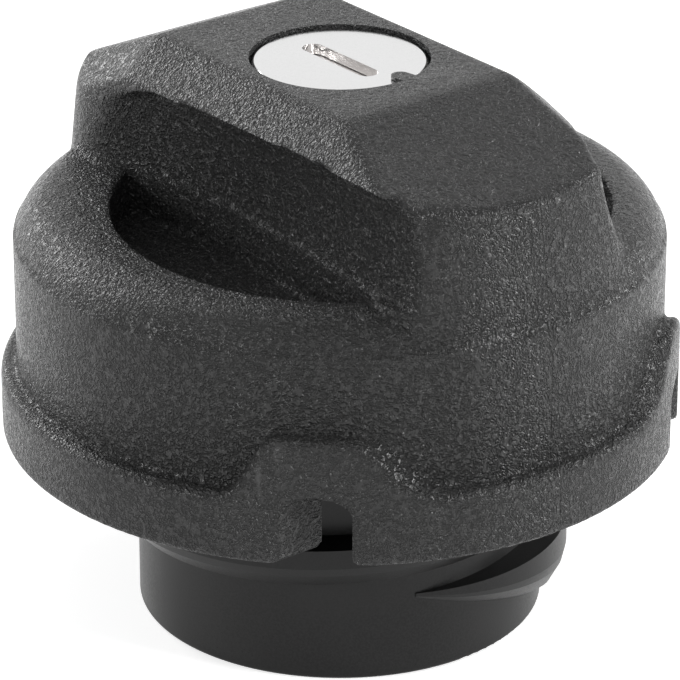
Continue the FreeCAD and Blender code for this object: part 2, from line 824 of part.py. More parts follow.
def plug_circlip():
    clip = ring(circlip_radius, plug_radius - circlip_groove_depth, circlip_z, circlip_top_z)
    half = circlip_opening / 2
    return clip.cut(block(-half, half, 0, circlip_radius + cut_over, circlip_z - cut_over, circlip_top_z + cut_over))


def key_shutter():
    z = shutter_axis_z()
    half = shutter_half_length()
    top = plug_top_z - thin_gap * 2
    shape = block(shutter_hinge_x + shutter_pin_radius, shutter_hinge_x + shutter_reach, -half, half,
                  top - shutter_thickness, top)
    for low in (-half, half - shutter_knuckle_length):
        barrel = Part.makeCylinder(shutter_barrel_radius, shutter_knuckle_length,
                                   Vector(shutter_hinge_x, low, z), Vector(0, 1, 0))
        shape = shape.fuse(barrel)
    gap = half - shutter_knuckle_length
    shape = shape.cut(block(shutter_hinge_x, shutter_hinge_x + shutter_barrel_radius + shutter_knuckle_gap, -gap, gap,
                            z - shutter_barrel_radius - cut_over, top + cut_over))
    hole = Part.makeCylinder(shutter_pin_radius + running_gap, 2 * half + 2 * cut_over,
                             Vector(shutter_hinge_x, -half - cut_over, z), Vector(0, 1, 0))
    return shape.cut(hole).removeSplitter()


def shutter_pin():
    half = shutter_half_length() + shutter_side_gap + shutter_pin_bite
    return Part.makeCylinder(shutter_pin_radius, 2 * half, Vector(shutter_hinge_x, -half, shutter_axis_z()),
                             Vector(0, 1, 0))


def shutter_spring():
    gap = shutter_half_length() - shutter_knuckle_length
    length = 2 * gap - 2 * thin_gap - shutter_spring_spare
    radius = shutter_pin_radius + thin_gap + shutter_spring_wire / 2
    return coil(radius, shutter_spring_wire, length, shutter_spring_turns,
                Vector(shutter_hinge_x, -length / 2, shutter_axis_z()), Vector(0, 1, 0))


def wafer(index):
    z = wafer_height(index)
    half = wafer_thickness / 2
    plate = block(-wafer_half_width, wafer_half_width, -plug_radius, plug_radius, z - half, z + half)
    plate = plate.common(cylinder(plug_radius - thin_gap, z - half, z + half))
    lower_edge = -keyway_half_length + wafer_bridge + wafer_cut_depths[index % len(wafer_cut_depths)]
    window = block(-wafer_window_half_width, wafer_window_half_width, lower_edge,
                   keyway_half_length - wafer_window_spare, z - wafer_thickness, z + wafer_thickness)
    lug = block(wafer_half_width - weld, wafer_half_width + wafer_lug_reach, wafer_lug_y,
                wafer_lug_y + wafer_lug_width, z - half, z + half)
    shape = plate.cut(window).fuse(lug).removeSplitter()
    return turned(shape, 0 if wafer_side(index) > 0 else 180)


def wafer_spring(index):
    spring = coil(wafer_spring_radius, wafer_spring_wire, wafer_spring_length - thin_gap, wafer_spring_turns,
                  Vector(spring_x(), wafer_lug_y - wafer_spring_length, wafer_height(index)), Vector(0, 1, 0))
    return turned(spring, 0 if wafer_side(index) > 0 else 180)


# Crank and bolt

def crank_disc():
    low = crank_z - cut_over
    high = crank_top_z + cut_over
    disc = cylinder(crank_disc_radius, crank_z, crank_top_z)
    pin = cylinder(crank_pin_radius, bolt_z + slide_gap, crank_z + weld, crank_pin_x, crank_pin_y)
    head = cylinder(crank_screw_head_radius, low, crank_z + crank_screw_head_height)
    shank = cylinder(crank_screw_radius, low, high)
    flat = block(-crank_disc_radius, crank_disc_radius, -crank_disc_radius, crank_flat_depth - crank_disc_radius,
                 low, high)
    return disc.fuse(pin).cut([head, shank, flat]).removeSplitter()


def crank_screw():
    return screw_with_socket(crank_screw_radius, crank_screw_head_radius, crank_screw_head_height,
                             crank_screw_depth, 0, 0, crank_z)


def locking_bolt():
    body = block(-bolt_back, bolt_shoulder, -bolt_half_width, bolt_half_width, bolt_z, bolt_top_z)
    tip = block(bolt_shoulder - weld, bolt_tip_x, -bolt_tip_width / 2, bolt_tip_width / 2, bolt_z, bolt_top_z)
    ends = edges_where(tip, lambda e: e.BoundBox.ZLength > cut_over and e.BoundBox.XMin > bolt_tip_x - 0.01)
    tip = tip.makeFillet(bolt_tip_round, ends)
    half = crank_pin_radius + yoke_gap
    low = bolt_z - cut_over
    high = bolt_top_z + cut_over
    yoke = block(crank_pin_x - half, crank_pin_x + half, crank_pin_y, crank_radius, low, high)
    ends = [cylinder(half, low, high, crank_pin_x, y) for y in (crank_pin_y, crank_radius)]
    return body.fuse(tip).cut(yoke.fuse(ends)).removeSplitter()


def bolt_guide():
    foot = cylinder(guide_foot_radius, guide_z, crank_room_z)
    box = centred_block(guide_half_width, guide_half_length, crank_room_z - weld, housing_z)
    box = box.makeFillet(guide_corner_round, upright_edges(box))
    shape = foot.fuse(box)
    room = cylinder(circlip_radius + circlip_room, crank_room_z, housing_z + cut_over)
    pin_room = cylinder(crank_radius + crank_pin_radius + slide_gap, bolt_z, crank_room_z + cut_over)
    side = bolt_half_width + slide_gap
    channel = block(-bolt_back - slide_gap, bolt_shoulder + bolt_travel + slide_gap, -side, side,
                    bolt_z - slide_gap, channel_top_z)
    tip_side = bolt_tip_width / 2 + slide_gap
    mouth = block(0, hub_radius, -tip_side, tip_side, bolt_z - slide_gap, channel_top_z)
    shape = shape.cut([room, pin_room, channel, mouth])
    for x in (-guide_screw_x, guide_screw_x):
        for y in (-guide_screw_y, guide_screw_y):
            shape = shape.cut(cylinder(small_screw_radius, guide_z - cut_over, housing_z + cut_over, x, y))
            shape = shape.cut(cylinder(small_screw_head_radius + thin_gap, guide_z - cut_over,
                                       guide_z + small_screw_head_height, x, y))
    return shape.removeSplitter()


def guide_screws():
    screws = []
    length = housing_flange_top_z - screw_end_gap - guide_z - small_screw_head_height
    for x in (-guide_screw_x, guide_screw_x):
        for y in (-guide_screw_y, guide_screw_y):
            screws.append(screw_with_socket(small_screw_radius, small_screw_head_radius, small_screw_head_height,
                                            length, x, y, guide_z))
    return Part.makeCompound(screws)


# Neck and valves

def smooth_step(share):
    share = min(1.0, max(0.0, share))
    return share * share * (3 - 2 * share)


def thread_rib():
    """Rib on a right-hand helix: it starts as a point, widens downwards into a lead-in, then runs evenly and fades."""
    root = neck_radius - thread_root_sink
    sections = []
    for i in range(int(round(thread_turns * thread_steps_per_turn)) + 1):
        turn = i / thread_steps_per_turn
        fade = sin(pi / 2 * min(1.0, (thread_turns - turn) / thread_fade_turns))
        rise = min(fade, sin(pi / 2 * min(1.0, turn / thread_rise_turns)))
        depth = thread_depth * (thread_least_rise + (1 - thread_least_rise) * rise)
        lead = min(1.0, turn / thread_lead_turns)
        narrow = smooth_step((turn - thread_lead_turns) / thread_narrow_turns)
        width = thread_start_width + (thread_lead_width - thread_start_width) * lead
        width = (width + (thread_width - width) * narrow) * (thread_end_share + (1 - thread_end_share) * fade)
        upper = thread_start_z + thread_pitch * turn
        points = [(root, 0, upper)]
        for out, down in thread_profile:
            points.append((neck_radius + out * depth, 0, upper - down * width))
        points.append((root, 0, upper - width))
        sections.append(turned(polygon(points), thread_start_angle + 360.0 * turn))
    return Part.makeLoft(sections, True, False)


def neck_body():
    tube = cylinder(neck_radius, 0, flange_z)
    tube = tube.makeFillet(neck_edge_round, level_edges(tube, 0))
    shape = tube.fuse([
        cylinder(seal_inner_radius, flange_z - seal_shoulder, flange_z),
        cylinder(flange_radius, flange_z, flange_top_z),
        cylinder(hub_radius, flange_top_z, hub_top_z),
        thread_rib(),
    ])
    shape = shape.cut([
        cylinder(neck_bore_radius, -cut_over, shoulder_z),
        cylinder(neck_bore_radius - shoulder_depth, shoulder_z - cut_over, flange_z),
        cylinder(hub_bore_radius, flange_z + web_thickness, hub_top_z + cut_over),
        ring(hub_radius + cut_over, hub_radius - ring_groove_depth, ring_z, ring_top_z),
    ])
    notch_half = bolt_tip_width / 2 + slide_gap
    notch = block(hub_bore_radius - cut_over, hub_radius + cut_over, -notch_half, notch_half,
                  bolt_z - slide_gap, hub_top_z + cut_over)
    shape = shape.cut(around(notch, notch_count))
    boss_outer = relief_spring_radius - relief_spring_wire / 2 - slide_gap
    boss = ring(boss_outer, boss_outer - spring_boss_wall, flange_z - spring_boss_height, flange_z + weld)
    shape = shape.fuse(boss)
    hole = cylinder(web_hole_radius, flange_z - cut_over, flange_z + web_thickness + cut_over, web_hole_circle, 0)
    shape = shape.cut(around(hole, web_hole_count))
    bead = ring(neck_bore_radius + weld, neck_bore_radius - snap_depth, bottom_inset - snap_height, bottom_inset)
    return shape.fuse(bead).removeSplitter()


def seal_ring():
    shape = ring(seal_outer_radius, seal_inner_radius, seal_z, flange_z)
    corners = edges_where(shape, lambda e: e.BoundBox.XLength > 2 * seal_outer_radius - 0.1
                          and e.BoundBox.ZMax < seal_z + 0.01)
    return shape.makeFillet(seal_round, corners)


def thrust_washer():
    return ring(hub_radius + washer_width, hub_radius + running_gap, flange_top_z, flange_top_z + washer_thickness)


def retaining_ring():
    shape = ring(hub_radius - ring_groove_depth + ring_width, hub_radius - ring_groove_depth, ring_z, ring_top_z)
    half = ring_gap / 2
    return shape.cut(block(-half, half, 0, hub_radius + ring_width, ring_z - cut_over, ring_top_z + cut_over))


def valve_carrier():
    low = shoulder_z - carrier_thickness
    shape = cylinder(neck_bore_radius - thin_gap, low, shoulder_z)
    shape = shape.fuse(ring(seat_radius + seat_width / 2, seat_radius - seat_width / 2, shoulder_z - weld,
                            relief_seal_z))
    shape = shape.cut(cylinder(carrier_hole_radius, low - cut_over, relief_seal_z + cut_over))
    post = cylinder(post_radius, shoulder_z - weld, relief_plate_top_z + relief_travel,
                    relief_plate_radius + post_gap + post_radius, 0)
    return shape.fuse(around(post, post_count, 180.0 / post_count)).removeSplitter()


def relief_seal():
    return ring(relief_seal_radius, relief_boss_radius, relief_seal_z, relief_plate_z)


def relief_plate():
    low = relief_seal_z - cut_over
    high = relief_plate_top_z + cut_over
    shape = cylinder(relief_plate_radius, relief_plate_z, relief_plate_top_z)
    collar = relief_spring_radius + relief_spring_wire / 2 + collar_gap
    shape = shape.fuse([
        cylinder(relief_boss_radius, relief_seal_z, relief_plate_z),
        ring(collar + collar_width, collar, relief_plate_top_z - weld, relief_plate_top_z + collar_height),
    ])
    holes = around(cylinder(air_hole_radius, low, high, air_hole_circle, 0), air_hole_count)
    return shape.cut(holes + [cylinder(stem_hole_radius, low, high)]).removeSplitter()


def relief_spring():
    return coil(relief_spring_radius, relief_spring_wire, relief_spring_room - 2 * thin_gap,
                relief_spring_turns, Vector(0, 0, relief_plate_top_z + thin_gap), up, 6)


def vacuum_disc():
    stem_top = relief_plate_top_z + vacuum_spring_length + spring_cap_thickness + stem_end
    disc = cylinder(vacuum_disc_radius, relief_seal_z - vacuum_disc_thickness, relief_seal_z)
    return disc.fuse(cylinder(stem_radius, relief_seal_z - weld, stem_top)).removeSplitter()


def vacuum_spring():
    return coil(vacuum_spring_radius, vacuum_spring_wire, vacuum_spring_length - 2 * thin_gap,
                vacuum_spring_turns, Vector(0, 0, relief_plate_top_z + thin_gap), up)


def spring_cap():
    low = relief_plate_top_z + vacuum_spring_length
    return ring(spring_cap_radius, stem_radius, low, low + spring_cap_thickness)


def bottom_cap():
    """Perforated floor with a collar that props the valve carrier against the neck's shoulder."""
    outer = neck_bore_radius - thin_gap
    shape = cylinder(outer, bottom_inset, shoulder_z - carrier_thickness)
    shape = shape.cut(cylinder(outer - collar_wall, bottom_inset + bottom_thickness, shoulder_z))
    high = bottom_inset + bottom_thickness + cut_over
    holes = around(cylinder(vent_hole_radius, 0, high, vent_hole_circle, 0), vent_hole_count)
    return shape.cut(holes + [cylinder(centre_vent_radius, 0, high)])


pieces = {
    "outer_cover": outer_cover,
    "base_plate": base_plate,
    "lock_housing": lock_housing,
    "housing_screws": housing_screws,
    "lock_plug": lock_plug,
    "lock_face": lock_face,
    "plug_circlip": plug_circlip,
    "key_shutter": key_shutter,
    "shutter_pin": shutter_pin,
    "shutter_spring": shutter_spring,
    "crank_disc": crank_disc,
    "crank_screw": crank_screw,
    "locking_bolt": locking_bolt,
    "bolt_guide": bolt_guide,
    "guide_screws": guide_screws,
    "neck_body": neck_body,
    "seal_ring": seal_ring,
    "thrust_washer": thrust_washer,
    "retaining_ring": retaining_ring,
    "valve_carrier": valve_carrier,
    "relief_seal": relief_seal,
    "relief_plate": relief_plate,
    "relief_spring": relief_spring,
    "vacuum_disc": vacuum_disc,
    "vacuum_spring": vacuum_spring,
    "spring_cap": spring_cap,
    "bottom_cap": bottom_cap,
}

os.makedirs("parts", exist_ok=True)
for name, make in pieces.items():
    make().exportStep("parts/" + name + ".step")
for index in range(wafer_count):
    wafer(index).exportStep("parts/wafer_%d.step" % (index + 1))
    wafer_spring(index).exportStep("parts/wafer_spring_%d.step" % (index + 1))
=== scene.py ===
import bpy
import numpy as np
from math import cos, radians, sin
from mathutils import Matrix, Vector


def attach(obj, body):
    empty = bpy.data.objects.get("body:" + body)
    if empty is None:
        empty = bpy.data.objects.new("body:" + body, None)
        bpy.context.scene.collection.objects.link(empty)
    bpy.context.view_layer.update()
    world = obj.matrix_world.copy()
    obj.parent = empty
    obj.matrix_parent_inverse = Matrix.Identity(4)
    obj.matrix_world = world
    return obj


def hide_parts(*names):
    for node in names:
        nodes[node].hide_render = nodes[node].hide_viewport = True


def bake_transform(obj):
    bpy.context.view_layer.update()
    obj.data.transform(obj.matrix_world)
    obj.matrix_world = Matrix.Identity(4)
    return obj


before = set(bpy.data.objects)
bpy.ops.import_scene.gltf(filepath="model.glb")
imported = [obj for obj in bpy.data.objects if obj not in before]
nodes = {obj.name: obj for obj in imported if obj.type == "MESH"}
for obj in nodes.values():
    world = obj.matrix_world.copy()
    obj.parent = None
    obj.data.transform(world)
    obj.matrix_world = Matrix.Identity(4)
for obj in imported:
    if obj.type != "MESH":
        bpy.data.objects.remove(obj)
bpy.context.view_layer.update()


# Node helpers for the materials. Sizes are per metre, since Object coordinates are metres.

class Shader:
    def __init__(self, name):
        self.material = bpy.data.materials.new(name)
        self.material.use_nodes = True
        self.tree = self.material.node_tree
        self.surface = self.tree.nodes["Principled BSDF"]
        self.place = self.add("ShaderNodeTexCoord").outputs["Object"]

    def add(self, kind, **settings):
        node = self.tree.nodes.new(kind)
        for key, value in settings.items():
            setattr(node, key, value)
        return node

    def put(self, socket, value):
        if isinstance(value, bpy.types.NodeSocket):
            self.tree.links.new(value, socket)
        elif value is not None:
            socket.default_value = value

    def sum(self, operation, first, second=None, third=None):
        node = self.add("ShaderNodeMath", operation=operation)
        for socket, value in zip(node.inputs, (first, second, third)):
            self.put(socket, value)
        return node.outputs[0]

    def noise(self, scale, detail=2.0, rough=0.5, twist=0.0, place=None):
        node = self.add("ShaderNodeTexNoise")
        self.put(node.inputs["Vector"], place or self.place)
        node.inputs["Scale"].default_value = scale
        node.inputs["Detail"].default_value = detail
        node.inputs["Roughness"].default_value = rough
        node.inputs["Distortion"].default_value = twist
        return node.outputs["Fac"]

    def step(self, value, low, high, start=0.0, end=1.0):
        node = self.add("ShaderNodeMapRange", interpolation_type="SMOOTHSTEP")
        names = ("Value", "From Min", "From Max", "To Min", "To Max")
        for name, number in zip(names, (value, low, high, start, end)):
            self.put(node.inputs[name], number)
        return node.outputs[0]

    def blend(self, share, first, second):
        node = self.add("ShaderNodeMix", data_type="RGBA")
        self.put(node.inputs["Factor"], share)
        self.put(node.inputs["A"], (*first, 1.0) if isinstance(first, tuple) else first)
        self.put(node.inputs["B"], (*second, 1.0) if isinstance(second, tuple) else second)
        return node.outputs["Result"]

    def bump(self, height, strength, distance, under=None):
        node = self.add("ShaderNodeBump")
        node.inputs["Strength"].default_value = strength
        node.inputs["Distance"].default_value = distance
        self.put(node.inputs["Height"], height)
        if under is not None:
            self.put(node.inputs["Normal"], under)
        return node.outputs["Normal"]

    def part(self, axis):
        node = self.add("ShaderNodeSeparateXYZ")
        self.put(node.inputs[0], self.place)
        return node.outputs[axis]

    def dress(self, *names):
        for name in names:
            slots = (nodes[name] if isinstance(name, str) else name).data.materials
            slots.clear()
            slots.append(self.material)


# Camera at the photograph's viewing angle

view = {"place": (-0.2942, -0.3739, 0.2500), "heading": (0.6184, 0.7859), "pitch": 24.57, "lens": 233.37}
cameraData = bpy.data.cameras.new("camera")
camera = bpy.data.objects.new("camera", cameraData)
bpy.context.scene.collection.objects.link(camera)
camera.location = view["place"]
pitch = radians(view["pitch"])
level = Vector((*view["heading"], 0.0)).normalized()
aim = level * cos(pitch) + Vector((0, 0, -sin(pitch)))
camera.rotation_euler = aim.to_track_quat("-Z", "Y").to_euler()
cameraData.lens = view["lens"]
cameraData.sensor_width = 36.0
cameraData.clip_start = 0.01
bpy.context.scene.camera = camera
print("camera made")


# Lights and floor

def softBox(name, values):
    data = bpy.data.lights.new(name, "AREA")
    data.shape = "RECTANGLE"
    data.size, data.size_y = values["size"]
    data.energy = values["power"]
    lamp = bpy.data.objects.new(name, data)
    bpy.context.scene.collection.objects.link(lamp)
    lamp.location = values["place"]
    toObject = Vector(lights["aim"]) - Vector(values["place"])
    lamp.rotation_euler = toObject.to_track_quat("-Z", "Y").to_euler()


def seenRay(tree):  # 1 for what the camera, a reflection or a clear part sees
    path = tree.nodes.new("ShaderNodeLightPath")
    total = None
    for name in ("Is Camera Ray", "Is Glossy Ray", "Is Transmission Ray"):
        if total is None:
            total = path.outputs[name]
            continue
        node = tree.nodes.new("ShaderNodeMath")
        node.operation = "ADD"
        node.use_clamp = True
        tree.links.new(total, node.inputs[0])
        tree.links.new(path.outputs[name], node.inputs[1])
        total = node.outputs[0]
    return total


lights = {
    "aim": (0.0, 0.0, 0.04),
    "top_light": {"place": (-0.05, 0.05, 0.75), "size": (0.4, 0.4), "power": 0.6},
    "rear_light": {"place": (0.0, 0.64, 0.2), "size": (0.25, 0.3), "power": 1.6},
    "left_light": {"place": (-0.62, 0.14, 0.25), "size": (0.16, 0.22), "power": 1.9},
    "right_light": {"place": (0.62, -0.15, 0.25), "size": (0.16, 0.22), "power": 2.2},
    "front_light": {"place": (0.34, -0.58, 0.22), "size": (0.16, 0.2), "power": 3.0},
    "ambient": 0.3, "floorGlow": 0.6,
}
for name in [key for key in lights if key.endswith("_light")]:
    softBox(name, lights[name])

bpy.ops.object.select_all(action="DESELECT")
bpy.ops.mesh.primitive_plane_add(size=6.0)
floor = bpy.context.object
floor.name = "floor"
floorShader = Shader("floor_paint")
floorTone = floorShader.step(floorShader.noise(2.0, 3.0), 0.3, 0.7)
floorShader.put(floorShader.surface.inputs["Base Color"],
                floorShader.blend(floorTone, (0.86, 0.86, 0.86), (0.9, 0.9, 0.9)))
floorShader.surface.inputs["Roughness"].default_value = 0.9
floorShader.surface.inputs["Emission Color"].default_value = (1, 1, 1, 1)
floorShader.put(floorShader.surface.inputs["Emission Strength"],
                floorShader.sum("MULTIPLY", seenRay(floorShader.tree), lights["floorGlow"]))
floor.data.materials.append(floorShader.material)

world = bpy.data.worlds.new("studio")
bpy.context.scene.world = world
world.use_nodes = True
backdrop = world.node_tree.nodes["Background"]
backdrop.inputs["Color"].default_value = (1, 1, 1, 1)
glow = world.node_tree.nodes.new("ShaderNodeMapRange")
glow.inputs["To Min"].default_value = lights["ambient"]
world.node_tree.links.new(seenRay(world.node_tree), glow.inputs["Value"])
world.node_tree.links.new(glow.outputs[0], backdrop.inputs["Strength"])
bpy.context.scene.view_settings.view_transform = "Standard"
print("stage made")


# Mesh helpers. Lengths in the dictionaries are millimetres, as the maker's drawing gives them.

mergeDistance = 0.000002  # metres, for the loose triangles of a copied solid


def pick(obj):
    if bpy.context.mode != "OBJECT":
        bpy.ops.object.mode_set(mode="OBJECT")
    bpy.ops.object.select_all(action="DESELECT")
    obj.select_set(True)
    bpy.context.view_layer.objects.active = obj


def editAll(obj):
    pick(obj)
    bpy.ops.object.mode_set(mode="EDIT")
    bpy.ops.mesh.select_all(action="SELECT")


def finishSolid(obj, push):
    editAll(obj)
    bpy.ops.mesh.extrude_region_move(TRANSFORM_OT_translate={"value": tuple(p / 1000 for p in push)})
    bpy.ops.mesh.select_all(action="SELECT")
    bpy.ops.mesh.normals_make_consistent(inside=False)
    bpy.ops.object.mode_set(mode="OBJECT")
    return obj


def prism(outline, push):  # a flat outline of points, pushed out into a solid
    bpy.ops.object.select_all(action="DESELECT")
    bpy.ops.mesh.primitive_circle_add(vertices=len(outline), fill_type="NGON")
    obj = bpy.context.object
    for vertex, point in zip(obj.data.vertices, outline):
        vertex.co = Vector(point) / 1000
    return finishSolid(obj, push)


def loft(rows, push):  # a sheet through rows of points, pushed out into a solid
    bpy.ops.object.select_all(action="DESELECT")
    along, across = len(rows) - 1, len(rows[0]) - 1
    bpy.ops.mesh.primitive_grid_add(x_subdivisions=along, y_subdivisions=across, size=1.0)
    obj = bpy.context.object
    for vertex in obj.data.vertices:
        row = round((vertex.co.x + 0.5) * along)
        place = round((vertex.co.y + 0.5) * across)
        vertex.co = Vector(rows[row][place]) / 1000
    return finishSolid(obj, push)


def disc(radius, low, high, x=0.0, y=0.0, sides=128):
    bpy.ops.object.select_all(action="DESELECT")
    bpy.ops.mesh.primitive_cylinder_add(vertices=sides, radius=radius / 1000, depth=(high - low) / 1000,
                                        location=(x / 1000, y / 1000, (low + high) / 2000))
    bpy.ops.object.transform_apply()
    return bpy.context.object


def slab(xs, ys, zs):
    corners = ((xs[0], ys[0]), (xs[1], ys[0]), (xs[1], ys[1]), (xs[0], ys[1]))
    return prism([(x, y, zs[0]) for x, y in corners], (0, 0, zs[1] - zs[0]))


def copyOf(node, name):  # a solid's mesh as a piece of its own, with its triangles joined
    obj = bpy.data.objects.new(name, node.data.copy())
    bpy.context.scene.collection.objects.link(obj)
    editAll(obj)
    bpy.ops.mesh.remove_doubles(threshold=mergeDistance)
    bpy.ops.object.mode_set(mode="OBJECT")
    return obj


def combine(target, tool, operation):
    pick(target)
    modifier = target.modifiers.new("combine", "BOOLEAN")
    modifier.operation = operation
    modifier.object = tool
    modifier.solver = "MANIFOLD"
    bpy.ops.object.modifier_apply(modifier="combine")
    bpy.data.objects.remove(tool)
    return target


# Cover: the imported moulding, with the real one's hollows under the grip, lip and finger pockets

cover = {
    # y, then the hollow's x at its foot, middle and crease, and the crease's height
    "left": [(-40, 16.2, 15.6, 15.7, 64.2), (-33, 15.9, 15.2, 15.3, 64.2), (-27, 15.8, 14.8, 15.1, 64.3),
             (-18, 15.1, 14.0, 15.0, 64.5), (-11, 14.3, 13.4, 15.0, 64.5), (-4.4, 13.8, 13.1, 15.0, 64.4),
             (5.6, 13.6, 13.0, 15.0, 64.2), (11, 13.9, 13.3, 15.1, 64.0), (14, 14.3, 13.7, 15.3, 63.7),
             (17.4, 14.9, 14.5, 15.9, 62.6), (20.6, 15.8, 15.6, 16.6, 61.1), (23.5, 16.9, 16.9, 17.4, 59.9),
             (27, 18.2, 18.2, 18.6, 58.3), (34, 21.0, 21.0, 21.0, 56.0)],
    "rightFront": [(-40, 14.4, 11.2, 10.4, 68.0), (-33, 14.3, 11.8, 11.0, 66.0),
                   (-28, 14.3, 12.6, 13.0, 64.4), (-22, 14.4, 13.4, 15.0, 62.9), (-16.3, 14.6, 13.6, 15.4, 64.1)],
    "rearFrom": -12,  # from here back the right hollow is as the left one
    "footHeight": 52.12, "middleHeight": 57.6, "reach": 25.0, "steps": 6,
    "section": [(-11.2, 68.45), (-12.0, 68.45), (-13.7, 67.15), (-17.19, 64.2),
                (-17.19, 60.0), (-11.2, 60.0)],
    "facet": (16.3, 0.316),  # where the front facet starts, and its slope
    "pocket": {"x": 1.0, "y": -4.0, "radius": 28.4, "floor": 46.35, "side": 0.45, "rear": 34.0},
    "fill": {"radius": 31.6, "low": 44.2, "high": 51.75, "side": 11.4, "block": 5.75},
    "shelf": {"low": 50.0, "thick": 2.15, "radius": 34.6, "start": 11.0, "end": 34.0},
    "wedge": {"start": -15.5, "length": 17.5},
    "bore": {"radius": 10.55, "plug": 11.35, "plugLow": 60.0, "low": 59.0, "high": 70.45, "sides": 192},
    "top": 68.45,
    "nub": {"width": 2.2, "inner": 9.15, "outer": 11.15, "low": 68.1, "turn": -79.0},
    # the old grip under the lip, filled before the hollows are cut: y and z
    "blockLeft": [(-29.9, 51.1), (-29.9, 64.17), (19, 64.17), (24, 61.92), (24, 51.1)],
    "blockRight": [(-29.9, 51.1), (-29.9, 59.9), (-16.3, 64.17), (19, 64.17), (24, 61.92), (24, 51.1)],
    "front": 32.5,
    "past": {"side": 40, "low": 40, "shelf": 45, "pocket": 54, "high": 55, "above": 90},  # ends of the cutters
    "voxel": 0.4, "faces": 188000,
    # the round walls, by radius, low and high, and how near to them a point belongs to them
    "walls": {"wall": (38.3, 31.6, 47.5), "skirt": (40.2, 23.8, 29.6)}, "nearWall": 0.3,
    "roller": (15.0, 60.0), "wallSides": 720,
    # where each rounding starts and is full, and its number of rounds
    "zones": {
        "all": {},
        "edges": {"above": (52.6, 54.0)},
        "corners": {"above": (52.6, 54.0), "front": (27.5, 31.0), "away": (8.0, 10.0)},
        "ramps": {"rear": (15.0, 20.0), "away": (11.5, 12.5), "above": (51.0, 52.2), "below": (-62.0, -59.0)},
        "pockets": {"below": (-50.6, -49.6), "above": (45.6, 46.2), "away": (14.0, 14.6),
                    "inside": (-32.0, -31.4)},
    },
    "soften": {"all": 4, "edges": 16, "corners": 22, "ramps": 30, "pockets": 24},
    "smooth": 50.0, "body": "cover", "slot": "cover_plastic",
}


def hollow(rows, side):
    foot, middle, steps = cover["footHeight"], cover["middleHeight"], cover["steps"]
    sheet = []
    for y, atFoot, atMiddle, atCrease, crease in rows:
        points = []
        for i in range(steps + 1):  # a curve through the foot, the middle and the crease
            z = foot + (crease - foot) * i / steps
            toMiddle = (z - crease) * (z - middle) / ((foot - crease) * (foot - middle))
            inMiddle = (z - foot) * (z - crease) / ((middle - foot) * (middle - crease))
            toCrease = (z - foot) * (z - middle) / ((crease - foot) * (crease - middle))
            points.append((side * (atFoot * toMiddle + atMiddle * inMiddle + atCrease * toCrease), y, z))
        sheet.append(points)
    return loft(sheet, (side * cover["reach"], 0, 0))


def coverFill(side, rows):  # fills the drawing's pocket and hollow on one side
    fill, shelf, past = cover["fill"], cover["shelf"], cover["past"]
    inner, wide = side * fill["side"], past["side"]
    half = disc(fill["radius"], fill["low"], fill["high"])
    combine(half, slab((inner, side * wide), (-wide, wide), (past["low"], past["high"])), "INTERSECT")
    block = cover["blockLeft"] if side < 0 else cover["blockRight"]
    combine(half, prism([(inner, y, z) for y, z in block], (side * fill["block"], 0, 0)), "UNION")
    low = shelf["low"]
    foot = [(side * row[1], row[0], low) for row in rows if row[0] >= shelf["start"]]
    outline = [(inner, shelf["start"], low)] + foot + [(inner, shelf["end"], low)]
    plate = prism(outline, (0, 0, shelf["thick"]))
    combine(plate, disc(shelf["radius"], past["shelf"], past["high"]), "INTERSECT")
    return combine(half, plate, "UNION")


def coverPocket(side, rows):
    pocket, past = cover["pocket"], cover["past"]
    scoop = disc(pocket["radius"], pocket["floor"], past["pocket"], side * pocket["x"], pocket["y"])
    wide, low = past["side"], past["low"]
    foot = [(side * (row[1] + pocket["side"]), row[0], low) for row in rows]
    foot = [(-side * wide, -wide, low)] + foot + [(-side * wide, pocket["rear"], low)]
    return combine(scoop, prism(foot, (0, 0, 20)), "DIFFERENCE")


def lipWedge():  # the left lip keeps its height until the front facet cuts it
    start, slope = cover["facet"]
    top, place, past = cover["top"], cover["wedge"], cover["past"]
    wide, sky, out = past["side"], past["above"], past["shelf"]
    wedge = prism([(x, place["start"], z) for x, z in cover["section"]], (0, -place["length"], 0))
    above = [(-wide, 0, top + slope * start), (-wide, -out, top - slope * (out - start)),
             (-wide, -out, sky), (-wide, 0, sky)]
    combine(wedge, prism(above, (2 * wide, 0, 0)), "DIFFERENCE")
    return combine(wedge, slab((-wide, wide), (-cover["front"], -60), (40, 80)), "DIFFERENCE")


def indexNub():  # the small tongue on the rim of the bore that the lock's slot lines up with
    nub, top = cover["nub"], cover["top"]
    half = nub["width"] / 2
    tongue = disc(half, nub["low"], top, nub["inner"], 0, 32)
    combine(tongue, slab((nub["inner"], nub["outer"]), (-half, half), (nub["low"], top)), "UNION")
    tongue.rotation_euler.z = radians(nub["turn"])
    bpy.ops.object.transform_apply()
    return tongue


def softWeights(skin):  # how much each place of the moulding is rounded
    points = np.empty(len(skin.data.vertices) * 3)
    skin.data.vertices.foreach_get("co", points)
    x, y, z = points.reshape(-1, 3).T * 1000
    radius = np.hypot(x, y)
    along = {"front": -y, "rear": y, "away": np.abs(x), "above": z, "below": -z, "inside": -radius}
    fields = {}
    for name, limits in cover["zones"].items():
        fields[name] = np.ones_like(x)
        for way, (low, high) in limits.items():
            share = np.clip((along[way] - low) / (high - low), 0, 1)
            fields[name] = fields[name] * (share * share * (3 - 2 * share))
    for name, (wall, low, high) in cover["walls"].items():
        fields[name] = (np.abs(radius - wall) < cover["nearWall"]) & (z > low) & (z < high)
    for name, values in fields.items():
        group = skin.vertex_groups.new(name=name)
        marks = np.round(values * 10).astype(int)
        for mark in range(1, 11):
            group.add([int(i) for i in np.nonzero(marks == mark)[0]], mark / 10, "REPLACE")


